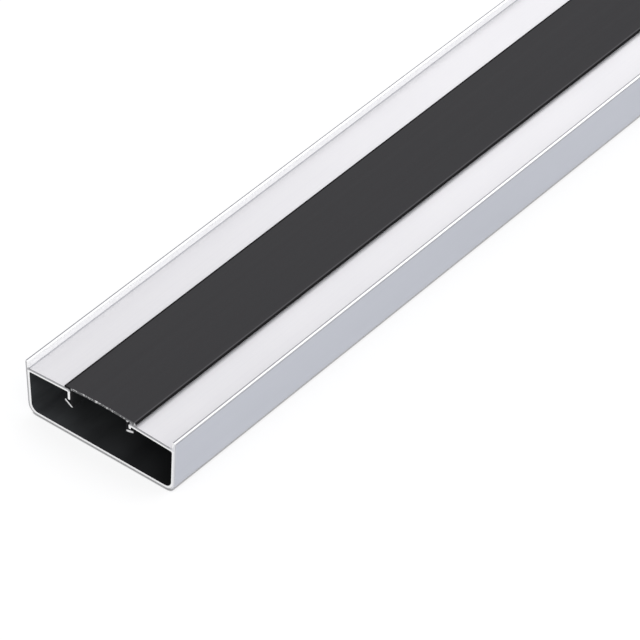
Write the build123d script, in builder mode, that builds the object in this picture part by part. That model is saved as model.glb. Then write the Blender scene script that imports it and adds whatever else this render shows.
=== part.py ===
from build123d import *
import os

# Cable raceway: a length of extruded aluminium channel, closed at the back by a snap-in plastic strip.
# It lies on its front face. X runs along the length, Z points to the back, and z = 0 is the front face.

# Channel, overall
length = 400.0
back_width = 60.0
front_width = 58.4
height = 20.0

# Channel, walls: the side walls stand past the back web as rims, and the web rises a little towards the middle
front_wall = 1.2
side_wall = 1.4
web_wall = 1.2
rim_wall = 1.4
rim_height = 2.6
web_rise = 1.25
front_outer_radius = 3.5
front_inner_radius = 2.6
web_corner_radius = 0.6
rim_edge_radius = 0.2
rim_root_radius = 0.4

# Slot in the web, set a little to the snap side: its edges turn in as lips, a long one there and a short one on
# the hook side
slot_width = 23.4
slot_offset = 0.3
lip_thickness = 0.9
lip_tip_flat = 0.1
lip_bend_radius = 0.8
lip_root_radius = 0.3
snap_lip_reach = 4.2
hook_lip_reach = 2.2

# Strip: a crowned plate with a leg inside each lip, which lies on the web and springs up a little on the hook side
strip_thickness = 0.8
snap_overlap = 2.2
hook_overlap = 2.8
snap_seat_gap = 0.0
hook_seat_gap = 0.35
strip_crown = 0.45
strip_edge_radius = 0.25
leg_thickness = 0.8
leg_clearance = 0.15
leg_root_radius = 0.2
leg_end_radius = 0.2

# Barbs on the legs, which reach out under the lips: steep on the snap side, low on the hook side
snap_barb_rise = 1.55
hook_barb_rise = 0.6
snap_barb_catch = 1.2
hook_barb_catch = 0.9
barb_depth = 0.75
barb_root_radius = 0.15
barb_edge_radius = 0.2
barb_clearance = 0.25

# Sides of the section
snap_side = 1
hook_side = -1

# Widths and heights that follow from the sizes above
front_half = front_width / 2
back_half = back_width / 2
snap_slot_half = slot_width / 2 + slot_offset
hook_slot_half = slot_width / 2 - slot_offset
lip_tip_radius = (lip_thickness - lip_tip_flat) / 2
web_root = height - rim_height
web_underside = web_root - web_wall


def outer_half(z):
    """Half the outside width at height z, where the side walls lean out towards the back."""
    return front_half + (back_half - front_half) * z / height


def web_face(y):
    """Height of the web's outer face at y, which rises from the rim towards the middle."""
    root_half = outer_half(web_root) - rim_wall
    return web_root + web_rise * (root_half - y) / root_half


def lip_tip(slot_half, lip_reach):
    """Height of the tip of a lip that reaches this far in from the web's outer face."""
    return web_face(slot_half) - lip_reach


def channel_corners(side, slot_half, lip_reach):
    """One side of the channel's section, from the middle of the front face round to the inside of the front."""
    lip_outside = slot_half + lip_thickness
    corners = [
        (0, 0),
        (front_half, 0),
        (back_half, height),
        (back_half - rim_wall, height),
        (outer_half(web_root) - rim_wall, web_root),
        (slot_half, web_face(slot_half)),
        (slot_half, lip_tip(slot_half, lip_reach)),
        (lip_outside, lip_tip(slot_half, lip_reach)),
        (lip_outside, web_face(lip_outside) - web_wall),
        (outer_half(web_underside) - side_wall, web_underside),
        (outer_half(front_wall) - side_wall, front_wall),
        (0, front_wall),
    ]
    return [(side * y, z) for y, z in corners]


channel_radii = [
    front_outer_radius,
    rim_edge_radius,
    rim_edge_radius,
    rim_root_radius,
    lip_bend_radius,
    lip_tip_radius,
    lip_tip_radius,
    lip_root_radius,
    web_corner_radius,
    front_inner_radius,
]

# Aluminium channel
with BuildPart() as raceway_channel:
    with BuildSketch(Plane.YZ.offset(-length / 2)):
        with BuildLine():
            FilletPolyline(*channel_corners(snap_side, snap_slot_half, snap_lip_reach), radius=channel_radii)
            FilletPolyline(*channel_corners(hook_side, hook_slot_half, hook_lip_reach), radius=channel_radii)
        make_face()
    extrude(amount=length)


def leg_corners(side, slot_half, overlap, seat_gap, lip_reach, barb_rise, barb_catch):
    """One side of the strip's section, from the plate's top round its edge, leg and barb to its underside."""
    plate_half = slot_half + overlap
    leg_outside = slot_half - leg_clearance
    leg_inside = leg_outside - leg_thickness
    barb_half = slot_half + lip_thickness + barb_catch
    barb_top = lip_tip(slot_half, lip_reach) - barb_clearance
    leg_end = barb_top - barb_depth - barb_rise
    corners = [
        (slot_half, web_face(slot_half) + seat_gap + strip_thickness),
        (plate_half, web_face(plate_half) + seat_gap + strip_thickness),
        (plate_half, web_face(plate_half) + seat_gap),
        (leg_outside, web_face(leg_outside) + seat_gap),
        (leg_outside, leg_end + barb_depth),
        (barb_half, barb_top),
        (barb_half, barb_top - barb_depth),
        (leg_outside, leg_end),
        (leg_inside, leg_end),
        (leg_inside, web_face(slot_half) + seat_gap),
    ]
    return [(side * y, z) for y, z in corners]


leg_radii = [
    strip_edge_radius,
    strip_edge_radius,
    leg_root_radius,
    barb_root_radius,
    barb_edge_radius,
    barb_edge_radius,
    leg_end_radius,
    leg_end_radius,
]
snap_leg = leg_corners(
    snap_side, snap_slot_half, snap_overlap, snap_seat_gap, snap_lip_reach, snap_barb_rise, snap_barb_catch)
hook_leg = leg_corners(
    hook_side, hook_slot_half, hook_overlap, hook_seat_gap, hook_lip_reach, hook_barb_rise, hook_barb_catch)


def crown(snap_point, hook_point):
    """The plate's highest point, over the middle between two points at its sides."""
    return (0, (snap_point[1] + hook_point[1]) / 2 + strip_crown)


# Snap-in strip, seated on the web and in the slot
with BuildPart() as snap_strip:
    with BuildSketch(Plane.YZ.offset(-length / 2)):
        with BuildLine():
            FilletPolyline(*snap_leg, radius=leg_radii)
            FilletPolyline(*hook_leg, radius=leg_radii)
            ThreePointArc(snap_leg[0], crown(snap_leg[0], hook_leg[0]), hook_leg[0])
            ThreePointArc(snap_leg[-1], crown(snap_leg[-1], hook_leg[-1]), hook_leg[-1])
        make_face()
    extrude(amount=length)

os.makedirs("parts", exist_ok=True)
raceway_channel.part.label = "raceway_channel"
export_step(raceway_channel.part, "parts/raceway_channel.step")
snap_strip.part.label = "snap_strip"
export_step(snap_strip.part, "parts/snap_strip.step")
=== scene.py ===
import math

import bmesh
import bpy
from mathutils import Matrix, Vector, geometry, noise


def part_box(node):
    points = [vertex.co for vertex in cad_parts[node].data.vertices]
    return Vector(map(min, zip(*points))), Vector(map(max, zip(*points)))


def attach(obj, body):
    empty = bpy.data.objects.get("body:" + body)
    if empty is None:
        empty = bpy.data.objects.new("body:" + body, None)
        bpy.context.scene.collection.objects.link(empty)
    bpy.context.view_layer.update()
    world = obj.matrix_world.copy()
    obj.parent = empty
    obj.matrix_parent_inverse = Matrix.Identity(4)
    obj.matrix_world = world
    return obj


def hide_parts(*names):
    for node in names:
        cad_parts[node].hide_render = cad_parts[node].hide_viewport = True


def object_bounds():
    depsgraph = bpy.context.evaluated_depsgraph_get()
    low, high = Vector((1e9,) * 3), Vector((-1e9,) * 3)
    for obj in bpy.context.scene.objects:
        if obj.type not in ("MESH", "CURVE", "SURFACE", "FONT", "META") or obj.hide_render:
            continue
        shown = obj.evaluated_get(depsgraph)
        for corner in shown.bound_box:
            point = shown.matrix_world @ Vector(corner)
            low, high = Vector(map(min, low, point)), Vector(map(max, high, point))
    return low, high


# A length of aluminium cable raceway, lying on its front face, with a dark plastic strip snapped into its
# back. Lengths are in metres in the part's own frame: X runs along the piece and Z points up to its back.
# The strip's steep barb is on its snap side, towards +Y, and its low barb on its hook side.

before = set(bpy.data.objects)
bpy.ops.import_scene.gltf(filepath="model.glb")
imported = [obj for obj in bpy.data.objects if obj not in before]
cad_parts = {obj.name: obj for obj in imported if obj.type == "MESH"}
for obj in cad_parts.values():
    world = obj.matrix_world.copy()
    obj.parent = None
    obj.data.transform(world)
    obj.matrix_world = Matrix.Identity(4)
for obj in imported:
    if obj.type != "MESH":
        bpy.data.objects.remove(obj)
cad_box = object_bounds()
channel_low, channel_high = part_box("raceway_channel")
strip_low, strip_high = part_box("snap_strip")

# View of the photograph: where the middle of the near end's front edge shows, and how far off it is
image_side_px = 640
sensor_width_mm = 36.0
lens_mm = 259.51
view_azimuth_deg = -51.601
view_elevation_deg = 40.407
view_roll_deg = 0.991
near_edge_px = (100.75, 451.62)
near_edge_distance = 1.3976

# Saw-cut ends: the round of their edges, and how far they are frayed, the strip's softer end the most.
# Past the round, the fray dies away over a few times its own depth.
round_steps = 3
outside_edge_round = 0.0002
inside_edge_round = 0.00008
strip_edge_round = 0.00008
tightest_share = 0.6
channel_fray = 0.00002
strip_fray = 0.00014
frays_to_calm = 4
fray_cells_per_m = 1400
strip_outline_step = 0.0005
channel_outline_step = 0.003

# Channel's rims, which stand over the web, and the share of their height at the root that looks like it
rim_height = 0.0026
rim_wall = 0.0014
rim_root_share = 0.25

# Painted shade lines along the rims' tops: how far they lie to the hook side, where they start and are
# full, as shares of the rim's wall from its middle, and how strong the faintest is. The outside has a
# painted shade line below its top edge, from where it ends to where it is full.
rim_shade_line_shift = 0.00015
rim_shade_line_edge = (0.23, 0.27)
faint_shade_line_share = 0.3
outside_shade_line_edge = (0.0006, 0.0004)
outside_shade_line_share = 0.5

# Strip's section: its legs, and the barbs on them
snap_leg_outside = 0.01185
hook_leg_outside = 0.01125
snap_leg_end = 0.01137
hook_leg_end = 0.01435
barb_depth = 0.00075
snap_barb_slope = 0.689
hook_barb_slope = 0.308
plate_underside = 0.0181

# Strip's edges: both are painted black as shade, with a painted highlight line beside the hook side's. The
# painted shade pales under the plate.
snap_shade_edge = (0.0006, 0.0009)
hook_shade_edge = (0.0004, 0.0006)
highlight_edge = (0.0010, 0.0008)
highlight_share = 0.7
shade_pales_below_plate = 0.001

# Shares of a normal that point up or sideways: where a surface starts to count as turned that way, and
# where it counts in full
edge_rising = (0.12, 0.3)
edge_level = (0.9, 0.985)
wall_sideways = (0.5, 0.95)
rim_top_up = (0.2, 0.4)
plate_up = (0.93, 0.985)

# Grain: the part of the noise that counts, the cells in a metre along X, Y and Z, and the share of the
# finer grain where two are joined
most_noise = (0.3, 0.7)
nearly_all_noise = (0.2, 0.8)
speck_noise = (0.51, 0.63)
die_line_cells = (3, 2600, 2600)
rim_line_cells = (3, 3200, 3200)
cloud_cells = (35, 90, 90)
frost_cells = (5000, 5000, 5000)
inside_cloud_cells = (60, 140, 140)
saw_mark_cells = (9000, 500, 5200)
arris_grain_cells = (1500, 1500, 1500)
plastic_cells = (3200, 3200, 3200)
streak_cells = (4, 700, 700)
torn_cells = (900, 900, 900)
die_line_share = 0.6
plastic_grain_share = 0.8

# Relief, as its depth
die_line_relief = 0.000004
rim_relief = 0.000002
saw_mark_relief = 0.00001
plastic_relief = 0.00001
torn_relief = 0.00005

# Roughness, where a pair is the least and the most in a grain
satin_roughness = (0.38, 0.46)
rim_roughness = (0.3, 0.4)
inside_roughness = (0.7, 0.85)
sawn_roughness = (0.3, 0.45)
arris_roughness = (0.4, 0.6)
plastic_roughness = (0.6, 0.75)
torn_roughness = 0.6

# Colours of the channel in linear light, where a pair is the dark and the pale tone of a grain
face_tones = ((0.7, 0.69, 0.712, 1), (0.735, 0.725, 0.742, 1))
# painted shade: the side walls are darker and bluer than the faces, for how light falls on them
shaded_wall_tones = ((0.553, 0.57, 0.627, 1), (0.583, 0.6, 0.657, 1))
# painted shade: a fine darker line below the outside walls' top edge
outside_shade_line_tone = (0.3, 0.3, 0.33, 1)
# painted shade on the rounded edges between level and upright faces
rounded_edge_shade_tone = (0.42, 0.42, 0.44, 1)
# painted highlight: the rims' tops and inner faces are paler than the rest of the metal
rim_highlight_tones = ((0.95, 0.95, 0.95, 1), (0.98, 0.98, 0.98, 1))
# painted shade: grey lines along the rims' tops
rim_shade_line_tone = (0.25, 0.25, 0.27, 1)
inside_tones = ((0.004, 0.004, 0.004, 1), (0.085, 0.09, 0.095, 1))
sawn_tones = ((0.9, 0.9, 0.905, 1), (0.96, 0.96, 0.96, 1))
# painted shade on the outer part of each sawn wall, paler on the hook side's wall
outer_shade_tone = (0.46, 0.46, 0.47, 1)
hook_outer_shade_tone = (0.75, 0.755, 0.785, 1)
# painted shade: a fine grey line on the rounded edge round each sawn end
arris_shade_tones = ((0.2, 0.2, 0.21, 1), (0.36, 0.36, 0.37, 1))
hook_arris_shade_tone = (0.62, 0.63, 0.66, 1)

# Colours of the strip. The first painted shade is on its edges, and the second below its plate.
plastic_tones = ((0.0314, 0.0306, 0.0328, 1), (0.0402, 0.0393, 0.0418, 1))
# painted highlight: a paler line beside the hook side's edge
edge_highlight_tone = (0.10, 0.0985, 0.104, 1)
# painted shade: black on the strip's edges and on every face that does not look up
edge_shade_tones = ((0.004, 0.004, 0.0045, 1), (0.02, 0.021, 0.022, 1))
torn_tones = ((0.17, 0.17, 0.173, 1), (0.9, 0.9, 0.9, 1))
cut_leg_tone = (0.012, 0.012, 0.013, 1)
cut_barb_tone = (0.96, 0.96, 0.96, 1)

# Inside of the channel: its painted shade, deepest at the hook side: how pale it is there, how fast it
# pales from there, and the least in its cloud
hook_side_shade_paleness = 0.3
shade_paleness_power = 2.0
least_cloud = 0.6

# Sawn ends: the shares of a wall's thickness, from inside to outside, where painted shade on the metal
# starts and where it is full
outer_shade_share = (0.5, 0.65)

# Floor's painted contact shade, a fine line where the object touches it: its reach, the open shares from
# full to gone, and its tone
contact_reach = 0.001
contact_open = (0.45, 0.75)
contact_shade_tone = 0.2

# Lamps: the points that they face, and their tints
near_part = (-0.1, 0, 0)
middle = (0, 0, 0)
far_part = (0.1, 0, 0)
warm_white = (1.0, 0.99, 0.97)
cool_white = (0.98, 0.99, 1.0)
plain_white = (1.0, 1.0, 1.0)

# Surfaces of the channel and of the strip, as material slots
OUTSIDE, INSIDE, RIM, SAWN, ARRIS = range(5)
MOULDED, CUT = range(2)


# Sections, read from the solids' flat ends


def outline_of(node):
    """The node's section, as points (y, z) anticlockwise round its near end."""
    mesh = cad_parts[node].data
    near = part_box(node)[0].x
    flat = 1e-6
    digits = 8
    places = [tuple(round(c, digits) for c in vertex.co) for vertex in mesh.vertices]
    steps = set()
    for face in mesh.polygons:
        ring = [places[v] for v in face.vertices]
        if all(abs(place[0] - near) < flat for place in ring):
            steps.update(zip(ring, ring[1:] + ring[:1]))
    following = {here: there for here, there in steps if (there, here) not in steps}
    start = min(following)
    walk = [start]
    while following[walk[-1]] != start:
        walk.append(following[walk[-1]])
    points = [Vector((y, z)) for x, y, z in walk]
    area = sum(a.cross(b) for a, b in stretches(points))
    return points if area > 0 else points[::-1]


def divided(outline, longest):
    """The same outline with its long straight stretches divided."""
    points = []
    for here, there in stretches(outline):
        count = math.ceil((there - here).length / longest)
        points += [here.lerp(there, k / count) for k in range(count)]
    return points


def stretches(outline):
    """An outline's points in pairs, each with the next."""
    return list(zip(outline, outline[1:] + outline[:1]))


def edge_normals(outline):
    """The outward direction of each stretch of an outline, from a point to the next."""
    ways = [(there - here).normalized() for here, there in stretches(outline)]
    return [Vector((way.y, -way.x)) for way in ways]


def inset(outline, depths):
    """The outline with each point moved inwards by its own depth."""
    normals = edge_normals(outline)
    points = []
    for k, point in enumerate(outline):
        middle_way = (normals[k - 1] + normals[k]).normalized()
        points.append(point - middle_way * depths[k] / middle_way.dot(normals[k]))
    return points


def end_rounds(outline, wanted):
    """The round that each point's end edge can take, less where the outline itself turns tightly."""
    normals = edge_normals(outline)
    rounds = []
    for k, point in enumerate(outline):
        turn = normals[k - 1].angle_signed(normals[k], 0)
        after = outline[(k + 1) % len(outline)]
        length = ((point - outline[k - 1]).length + (after - point).length) / 2
        bends_out = normals[k - 1].cross(normals[k]) > 0
        limit = tightest_share * length / abs(turn) if bends_out and turn else wanted[k]
        rounds.append(min(wanted[k], limit))
    return rounds


def faces_across(outline, others):
    """For each stretch of an outline, whether it looks at another stretch, or at one of the others."""
    reach = (cad_box[1] - cad_box[0]).length
    clear = 1e-6
    walls = stretches(outline) + others
    found = []
    for (here, there), normal in zip(stretches(outline), edge_normals(outline)):
        centre = (here + there) / 2
        start = centre + normal * clear
        end = centre + normal * reach
        found.append(any(geometry.intersect_line_line_2d(start, end, a, b) for a, b in walls))
    return found


# Pieces


def sweep(name, outline, low_x, high_x, rounds, fray, surfaces, end_surfaces, cap):
    """A saw-cut length of a section, swept along X, with rounded and slightly frayed end edges."""
    mesh = bmesh.new()
    share = mesh.verts.layers.float.new("outer_share")
    rings = []
    for end_x, inwards in ((low_x, 1), (high_x, -1)):
        end_rings = []
        for step in range(round_steps + 1):
            angle = math.radians(90 * step / round_steps)
            points = inset(outline, [each * (1 - math.sin(angle)) for each in rounds])
            ring = []
            for (y, z), each in zip(points, rounds):
                wander = (noise.noise(Vector((end_x, y, z)) * fray_cells_per_m) + 1) / 2
                depth = each * (1 - math.cos(angle)) + fray * wander
                ring.append(mesh.verts.new((end_x + inwards * depth, y, z)))
            end_rings.append(ring)
        calm_x = end_x + inwards * (max(rounds) + frays_to_calm * fray)
        end_rings.append([mesh.verts.new((calm_x, y, z)) for y, z in outline])
        rings += end_rings if inwards > 0 else end_rings[::-1]
    for ring in rings:
        for k, vertex in enumerate(ring):
            vertex[share] = end_surfaces[k - 1] != cap and end_surfaces[k] != cap
    for number, (ring, beyond) in enumerate(zip(rings, rings[1:])):
        at_end = number < round_steps or number >= len(rings) - 1 - round_steps
        for k in range(len(ring)):
            after = (k + 1) % len(ring)
            face = mesh.faces.new((ring[k], ring[after], beyond[after], beyond[k]))
            face.material_index = end_surfaces[k] if at_end else surfaces[k]
    for ring in (rings[0][::-1], rings[-1]):
        mesh.faces.new(ring).material_index = cap
    for face in mesh.faces:
        face.smooth = True
    bmesh.ops.recalc_face_normals(mesh, faces=mesh.faces)
    bmesh.ops.triangulate(mesh, faces=[face for face in mesh.faces if len(face.verts) > 4])
    data = bpy.data.meshes.new(name)
    mesh.to_mesh(data)
    mesh.free()
    piece = bpy.data.objects.new(name, data)
    bpy.context.scene.collection.objects.link(piece)
    crisp = piece.modifiers.new("crisp_flats", "WEIGHTED_NORMAL")
    crisp.keep_sharp = True
    return piece


def channel_surfaces(outline):
    """Which surface each stretch of the channel's outline belongs to."""
    web_root = channel_high.z - rim_height
    rim_start = web_root + rim_root_share * rim_height
    across = faces_across(outline, stretches(outline_of("snap_strip")))
    found = []
    for k, ((here, there), normal) in enumerate(zip(stretches(outline), edge_normals(outline))):
        height = (here.y + there.y) / 2
        side_wall = normal.x * here.x > abs(normal.y * here.x)
        clear_of_strip = abs(here.x) > strip_high.y + rim_height
        if height < web_root and across[k]:
            found.append(INSIDE)
        elif height > rim_start and clear_of_strip and not side_wall:
            found.append(RIM)
        else:
            found.append(OUTSIDE)
    return found


def make_channel():
    """The aluminium channel, in place of its solid."""
    outline = divided(outline_of("raceway_channel"), channel_outline_step)
    surfaces = channel_surfaces(outline)
    wanted = [outside_edge_round if surface == OUTSIDE else inside_edge_round for surface in surfaces]
    ends = [ARRIS if surface == OUTSIDE else SAWN for surface in surfaces]
    piece = sweep("aluminium_channel", outline, channel_low.x, channel_high.x,
                  end_rounds(outline, wanted), channel_fray, surfaces, ends, SAWN)
    for material in (satin_anodised(), dark_inside(), bright_rim(), sawn_aluminium(), arris_shade_line()):
        piece.data.materials.append(material)
    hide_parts("raceway_channel")
    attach(piece, "root")


def make_strip():
    """The plastic strip, in place of its solid."""
    outline = divided(outline_of("snap_strip"), strip_outline_step)
    count = len(outline)
    rounds = end_rounds(outline, [strip_edge_round] * count)
    piece = sweep("plastic_strip", outline, strip_low.x, strip_high.x,
                  rounds, strip_fray, [MOULDED] * count, [CUT] * count, CUT)
    for material in (matte_plastic(), sawn_plastic()):
        piece.data.materials.append(material)
    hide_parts("snap_strip")
    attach(piece, "root")


# Materials


class Paint:
    """A material, with short ways to add nodes to it."""

    def __init__(self, name, **constants):
        self.material = bpy.data.materials.new(name)
        self.material.use_nodes = True
        self.tree = self.material.node_tree
        self.shader = self.tree.nodes["Principled BSDF"]
        for socket, value in constants.items():
            self.shade(socket.replace("_", " "), value)

    def add(self, kind, **settings):
        """A new node with its settings."""
        made = self.tree.nodes.new(kind)
        for name, value in settings.items():
            setattr(made, name, value)
        return made

    def feed(self, socket, source):
        """Links a source to a socket, or sets a plain value there."""
        if isinstance(source, bpy.types.NodeSocket):
            self.tree.links.new(source, socket)
        else:
            socket.default_value = source

    def shade(self, name, source):
        """Feeds a source to one of the shader's own sockets."""
        self.feed(self.shader.inputs[name], source)

    def place(self, output="Object"):
        """Where a point is on the object, or its normal there, as X, Y and Z."""
        apart = self.add("ShaderNodeSeparateXYZ")
        self.feed(apart.inputs[0], self.add("ShaderNodeTexCoord").outputs[output])
        return apart.outputs

    def grain(self, cells, detail=2.0, roughness=0.5):
        """Noise from 0 to 1, with so many cells in a metre along X, Y and Z."""
        spread = self.add("ShaderNodeMapping")
        self.feed(spread.inputs["Vector"], self.add("ShaderNodeTexCoord").outputs["Object"])
        self.feed(spread.inputs["Scale"], cells)
        made = self.add("ShaderNodeTexNoise")
        self.feed(made.inputs["Vector"], spread.outputs[0])
        self.feed(made.inputs["Scale"], 1.0)
        self.feed(made.inputs["Detail"], detail)
        self.feed(made.inputs["Roughness"], roughness)
        return made.outputs["Fac"]

    def ramp(self, source, start, end, low=0.0, high=1.0, smooth=False):
        """Maps a value from start and end to low and high, and holds it there beyond them."""
        made = self.add("ShaderNodeMapRange", clamp=True)
        made.interpolation_type = "SMOOTHSTEP" if smooth else "LINEAR"
        names = ("Value", "From Min", "From Max", "To Min", "To Max")
        for name, value in zip(names, (source, start, end, low, high)):
            self.feed(made.inputs[name], value)
        return made.outputs["Result"]

    def join(self, operation, first, second=0.0):
        """Two values joined by an operation, or one value changed by it."""
        made = self.add("ShaderNodeMath", operation=operation)
        self.feed(made.inputs[0], first)
        self.feed(made.inputs[1], second)
        return made.outputs[0]

    def blend(self, first, second, first_share):
        """Two grains joined into a tone from 0 to 1, with this share for the first."""
        main = self.ramp(first, *most_noise, 0.0, first_share)
        rest = self.ramp(second, *most_noise, 0.0, 1 - first_share)
        return self.join("ADD", main, rest)

    def mix(self, share, first, second):
        """A colour between two colours."""
        made = self.add("ShaderNodeMix", data_type="RGBA")
        self.feed(made.inputs["Factor"], share)
        colours = [socket for socket in made.inputs if socket.type == "RGBA"]
        self.feed(colours[0], first)
        self.feed(colours[1], second)
        return next(socket for socket in made.outputs if socket.type == "RGBA")

    def bump(self, height, distance):
        """Relief of a height in metres, on the shader's normal."""
        made = self.add("ShaderNodeBump")
        self.feed(made.inputs["Height"], height)
        self.feed(made.inputs["Distance"], distance)
        self.shade("Normal", made.outputs["Normal"])


def shaded_rounded_edges(paint, colour, shade_colour):
    """A colour that turns to a painted shade on rounded edges, which lie between level and upright."""
    lean = paint.place("Normal")[2]
    rising = paint.ramp(lean, *edge_rising, smooth=True)
    level = paint.ramp(lean, *edge_level, smooth=True)
    return paint.mix(paint.join("SUBTRACT", rising, level), colour, shade_colour)


def on_hook_wall(paint):
    """1 on the hook side's wall, and 0 from its inside on."""
    return paint.ramp(paint.place()[1], channel_low.y + 2 * rim_wall, channel_low.y + rim_wall)


def satin_anodised():
    """Satin anodising with fine grain and die lines, painted shade making the side walls darker and bluer,
    and a painted shade line along their tops.
    """
    paint = Paint("satin_anodised", Metallic=0.35)
    die_lines = paint.grain(die_line_cells, detail=3.0)
    cloud = paint.grain(cloud_cells)
    frost = paint.grain(frost_cells)
    tone = paint.blend(die_lines, cloud, die_line_share)
    faces = paint.mix(tone, *face_tones)
    # painted shade: the side walls take darker, bluer tones than the faces
    walls = paint.mix(tone, *shaded_wall_tones)
    # painted shade: a darker line just below the outside walls' top edge
    below_top = paint.join("SUBTRACT", channel_high.z, paint.place()[2])
    top_shade_line = paint.ramp(below_top, *outside_shade_line_edge, 0.0, outside_shade_line_share)
    shade_lined_walls = paint.mix(top_shade_line, walls, outside_shade_line_tone)
    sideways = paint.join("ABSOLUTE", paint.place("Normal")[1])
    colour = paint.mix(paint.ramp(sideways, *wall_sideways), faces, shade_lined_walls)
    paint.shade("Base Color", shaded_rounded_edges(paint, colour, rounded_edge_shade_tone))
    paint.shade("Roughness", paint.ramp(die_lines, *nearly_all_noise, *satin_roughness))
    paint.bump(paint.join("ADD", die_lines, frost), die_line_relief)
    return paint.material


def bright_rim():
    """The rims' smooth faces, painted bright as a highlight, with grey lines of painted shade along their
    tops, the snap side's inner one faint.
    """
    paint = Paint("bright_rim", Metallic=0.4)
    rim_middle = channel_high.y - rim_wall / 2
    blur = 0.1 * rim_wall
    die_lines = paint.grain(rim_line_cells, detail=3.0)
    # painted highlight: the rims' base colour is near white
    colour = paint.mix(paint.ramp(die_lines, *most_noise), *rim_highlight_tones)
    across = paint.place()[1]
    outwards = paint.join("ABSOLUTE", paint.join("ADD", across, rim_shade_line_shift))
    from_middle = paint.join("ABSOLUTE", paint.join("SUBTRACT", outwards, rim_middle))
    # painted shade lines along the rims' tops, full on the hook side and past the snap rim's middle
    at_edge = paint.ramp(from_middle, *(share * rim_wall for share in rim_shade_line_edge))
    looks_up = paint.ramp(paint.place("Normal")[2], *rim_top_up)
    on_hook_side = paint.ramp(across, rim_wall, 0.0)
    past_middle = paint.ramp(across, rim_middle - blur, rim_middle + blur)
    full_shade_line = paint.join("MAXIMUM", on_hook_side, past_middle)
    depth = paint.ramp(full_shade_line, 0.0, 1.0, faint_shade_line_share, 1.0)
    shade_line = paint.join("MULTIPLY", paint.join("MULTIPLY", at_edge, looks_up), depth)
    paint.shade("Base Color", paint.mix(shade_line, colour, rim_shade_line_tone))
    paint.shade("Roughness", paint.ramp(die_lines, *nearly_all_noise, *rim_roughness))
    paint.bump(die_lines, rim_relief)
    return paint.material


def dark_inside():
    """The dark inside of the channel, with a faint paler cloud and painted shade that deepens towards the
    hook side.
    """
    paint = Paint("dark_inside", Metallic=0.0, Specular_IOR_Level=0.08)
    cloud = paint.grain(inside_cloud_cells, detail=4.0)
    # painted shade: darkest at the hook side, paling towards the snap side
    across = paint.ramp(paint.place()[1], channel_low.y, channel_high.y, hook_side_shade_paleness, 1.0)
    shade_paleness = paint.join("POWER", across, shade_paleness_power)
    tone = paint.join("MULTIPLY", paint.ramp(cloud, *most_noise, least_cloud, 1.0), shade_paleness)
    paint.shade("Base Color", paint.mix(tone, *inside_tones))
    die_lines = paint.grain(die_line_cells, detail=3.0)
    paint.shade("Roughness", paint.ramp(die_lines, *nearly_all_noise, *inside_roughness))
    paint.bump(die_lines, die_line_relief)
    return paint.material


def sawn_aluminium():
    """Bright bare metal at the sawn ends, with fine saw marks, and painted shade towards the outside of
    each wall.
    """
    paint = Paint("sawn_aluminium", Metallic=0.75)
    marks = paint.grain(saw_mark_cells, detail=3.0)
    bright = paint.mix(paint.ramp(marks, *most_noise), *sawn_tones)
    outer = paint.add("ShaderNodeAttribute", attribute_name="outer_share").outputs["Fac"]
    # painted shade towards the outside of each wall, paler on the hook side's wall
    outer_shade = paint.mix(on_hook_wall(paint), outer_shade_tone, hook_outer_shade_tone)
    paint.shade("Base Color", paint.mix(paint.ramp(outer, *outer_shade_share), bright, outer_shade))
    paint.shade("Roughness", paint.ramp(marks, *nearly_all_noise, *sawn_roughness))
    paint.bump(marks, saw_mark_relief)
    return paint.material


def arris_shade_line():
    """The rounded edge between sawn end and outside: a fine grey line of painted shade, paler on the hook
    side's wall.
    """
    paint = Paint("arris_shade_line", Metallic=0.3)
    arris_grain = paint.grain(arris_grain_cells, detail=3.0)
    # painted shade: the grey of the line round the sawn end
    grey = paint.mix(paint.ramp(arris_grain, *most_noise), *arris_shade_tones)
    paint.shade("Base Color", paint.mix(on_hook_wall(paint), grey, hook_arris_shade_tone))
    paint.shade("Roughness", paint.ramp(arris_grain, *nearly_all_noise, *arris_roughness))
    return paint.material


def matte_plastic():
    """Dark grey matte PVC with a fine grain, painted shade in black along both edges and on faces that do
    not look up, and a painted highlight beside the hook side's edge.
    """
    paint = Paint("matte_plastic", Specular_IOR_Level=0.12)
    grain = paint.grain(plastic_cells, detail=4.0)
    streaks = paint.grain(streak_cells)
    plain = paint.mix(paint.blend(grain, streaks, plastic_grain_share), *plastic_tones)
    across, height = paint.place()[1:3]
    from_snap_edge = paint.join("SUBTRACT", strip_high.y, across)
    from_hook_edge = paint.join("SUBTRACT", across, strip_low.y)
    # painted highlight beside the hook side's edge
    painted_highlight = paint.ramp(from_hook_edge, *highlight_edge, 0.0, highlight_share)
    top = paint.mix(painted_highlight, plain, edge_highlight_tone)
    # painted shade: black along both edges, and on every face that does not look up
    past_snap_shade = paint.ramp(from_snap_edge, *snap_shade_edge)
    past_hook_shade = paint.ramp(from_hook_edge, *hook_shade_edge)
    inner = paint.join("MULTIPLY", past_snap_shade, past_hook_shade)
    flat = paint.ramp(paint.place("Normal")[2], *plate_up, smooth=True)
    below = paint.ramp(height, plate_underside, plate_underside - shade_pales_below_plate)
    painted_shade = paint.mix(below, *edge_shade_tones)
    paint.shade("Base Color", paint.mix(paint.join("MULTIPLY", flat, inner), painted_shade, top))
    paint.shade("Roughness", paint.ramp(grain, *nearly_all_noise, *plastic_roughness))
    paint.bump(grain, plastic_relief)
    return paint.material


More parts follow.
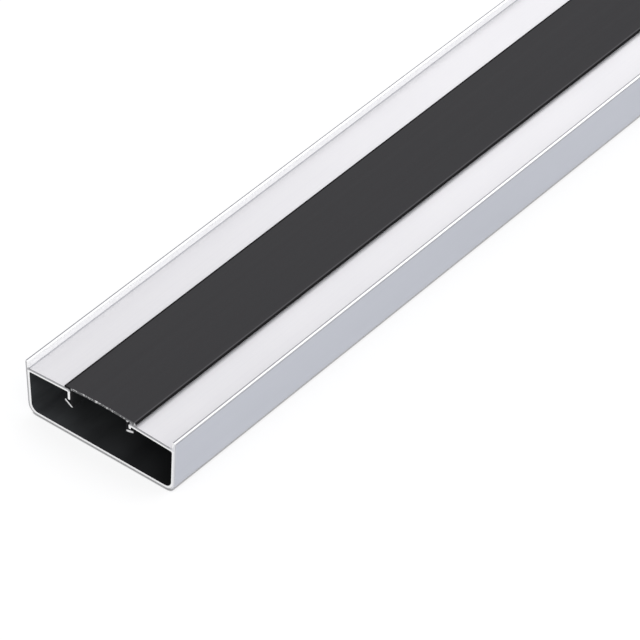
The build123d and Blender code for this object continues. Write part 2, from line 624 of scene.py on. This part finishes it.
def sawn_plastic():
    """The strip's cut end: dark legs, a grey torn plate with pale specks, and pale barbs."""
    paint = Paint("sawn_plastic", Roughness=torn_roughness, Specular_IOR_Level=0.05)
    blur = 0.0001
    across, height = paint.place()[1:3]
    torn = paint.grain(torn_cells, detail=4.0, roughness=0.65)
    plate = paint.mix(paint.ramp(torn, *speck_noise, smooth=True), *torn_tones)
    over_web = paint.ramp(height, plate_underside - blur, plate_underside + blur)
    past_leg = paint.ramp(across, snap_leg_outside, snap_leg_outside - 4 * blur)
    colour = paint.mix(paint.join("MULTIPLY", over_web, past_leg), cut_leg_tone, plate)
    for side, leg_outside, leg_end, slope in ((1, snap_leg_outside, snap_leg_end, snap_barb_slope),
                                              (-1, hook_leg_outside, hook_leg_end, hook_barb_slope)):
        outwards = paint.join("MULTIPLY", across, side)
        barb_line = leg_end + barb_depth - slope * leg_outside
        over_line = paint.join("SUBTRACT", height, paint.join("MULTIPLY", outwards, slope))
        under_line = paint.ramp(over_line, barb_line + 2 * blur, barb_line)
        on_barb = paint.join("MULTIPLY", under_line, paint.ramp(outwards, 0.0, blur))
        colour = paint.mix(on_barb, colour, cut_barb_tone)
    paint.shade("Base Color", colour)
    paint.bump(torn, torn_relief)
    return paint.material


# Studio


def add_camera():
    """The photograph's camera, placed so that the near end's front edge shows at its pixel."""
    azimuth = math.radians(view_azimuth_deg)
    elevation = math.radians(view_elevation_deg)
    roll = math.radians(view_roll_deg)
    level = Vector((math.cos(azimuth), math.sin(azimuth), 0))
    back = Vector((math.sin(azimuth), -math.cos(azimuth), math.tan(elevation))).normalized()
    right = Matrix.Rotation(roll, 3, back) @ level
    up = back.cross(right)
    metres_per_px = near_edge_distance * sensor_width_mm / (lens_mm * image_side_px)
    across = (near_edge_px[0] - image_side_px / 2) * metres_per_px
    above = (image_side_px / 2 - near_edge_px[1]) * metres_per_px
    near_edge = Vector((channel_low.x, 0, channel_low.z))
    data = bpy.data.cameras.new("photo_camera")
    data.lens = lens_mm
    data.sensor_width = sensor_width_mm
    camera = bpy.data.objects.new("photo_camera", data)
    camera.matrix_world = Matrix((right, up, back)).transposed().to_4x4()
    camera.location = near_edge + back * near_edge_distance - right * across - up * above
    bpy.context.scene.collection.objects.link(camera)
    bpy.context.scene.camera = camera


def add_softbox(name, place, aim, side, watts, colour):
    """A square area lamp that faces a point."""
    data = bpy.data.lights.new(name, "AREA")
    data.shape = "SQUARE"
    data.size = side
    data.energy = watts
    data.color = colour
    lamp = bpy.data.objects.new(name, data)
    lamp.location = place
    lamp.rotation_euler = (Vector(aim) - Vector(place)).to_track_quat("-Z", "Y").to_euler()
    bpy.context.scene.collection.objects.link(lamp)


def shown_rays(tree):
    """1 for the rays that show the background: the camera's, and those in metal and glass."""
    path = tree.nodes.new("ShaderNodeLightPath")
    total = path.outputs["Is Camera Ray"]
    for name in ("Is Glossy Ray", "Is Transmission Ray"):
        most = tree.nodes.new("ShaderNodeMath")
        most.operation = "MAXIMUM"
        tree.links.new(total, most.inputs[0])
        tree.links.new(path.outputs[name], most.inputs[1])
        total = most.outputs[0]
    return total


def add_world(sky_colour, sky_strength):
    """White to the eye and in metal, with an even light that is a little softer."""
    world = bpy.data.worlds.new("studio")
    world.use_nodes = True
    bpy.context.scene.world = world
    tree = world.node_tree
    light = tree.nodes["Background"]
    light.inputs["Color"].default_value = (*sky_colour, 1)
    light.inputs["Strength"].default_value = sky_strength
    white = tree.nodes.new("ShaderNodeBackground")
    white.inputs["Color"].default_value = (*plain_white, 1)
    white.inputs["Strength"].default_value = 1
    mix = tree.nodes.new("ShaderNodeMixShader")
    tree.links.new(shown_rays(tree), mix.inputs[0])
    tree.links.new(light.outputs[0], mix.inputs[1])
    tree.links.new(white.outputs[0], mix.inputs[2])
    tree.links.new(mix.outputs[0], tree.nodes["World Output"].inputs["Surface"])


def pale_floor(albedo, glow):
    """A plain pale surface that shows as white, with a fine line of painted contact shade where something
    touches it.
    """
    paint = Paint("pale_floor", Base_Color=(albedo, albedo, albedo, 1), Roughness=0.9,
                  Specular_IOR_Level=0.0, Emission_Color=(*plain_white, 1))
    lift = paint.join("MULTIPLY", shown_rays(paint.tree), glow)
    # painted contact shade: the glow dims where the object is close
    open_share = paint.add("ShaderNodeAmbientOcclusion")
    paint.feed(open_share.inputs["Distance"], contact_reach)
    shade_line = paint.ramp(open_share.outputs["AO"], *contact_open, contact_shade_tone, 1.0)
    paint.shade("Emission Strength", paint.join("MULTIPLY", lift, shade_line))
    return paint.material


def add_floor(half_side, drop, material):
    """A plain floor under the object."""
    data = bpy.data.meshes.new("floor")
    corners = [(x * half_side, y * half_side, -drop) for x, y in ((-1, -1), (1, -1), (1, 1), (-1, 1))]
    data.from_pydata(corners, [], [(0, 1, 2, 3)])
    data.materials.append(material)
    floor = bpy.data.objects.new("floor", data)
    bpy.context.scene.collection.objects.link(floor)


make_channel()
make_strip()
add_floor(half_side=8.0, drop=0.0001, material=pale_floor(albedo=0.3, glow=0.74))
add_world(sky_colour=(0.97, 0.975, 1.0), sky_strength=0.8)
add_softbox("key", place=(-1.4, 0.4, 1.1), aim=near_part, side=2.0, watts=4.0, colour=warm_white)
add_softbox("side_fill", place=(0.9, -0.9, 1.2), aim=near_part, side=1.4, watts=5.5, colour=cool_white)
add_softbox("front_fill", place=(-0.4, -1.2, 0.3), aim=near_part, side=1.0, watts=4.6, colour=plain_white)
add_softbox("back_fill", place=(0.2, 1.2, 0.3), aim=middle, side=1.0, watts=1.5, colour=plain_white)
add_softbox("far_fill", place=(0.51, 0.33, 0.465), aim=far_part, side=0.36, watts=0.45, colour=plain_white)
add_camera()
bpy.context.scene.view_settings.view_transform = "Standard"
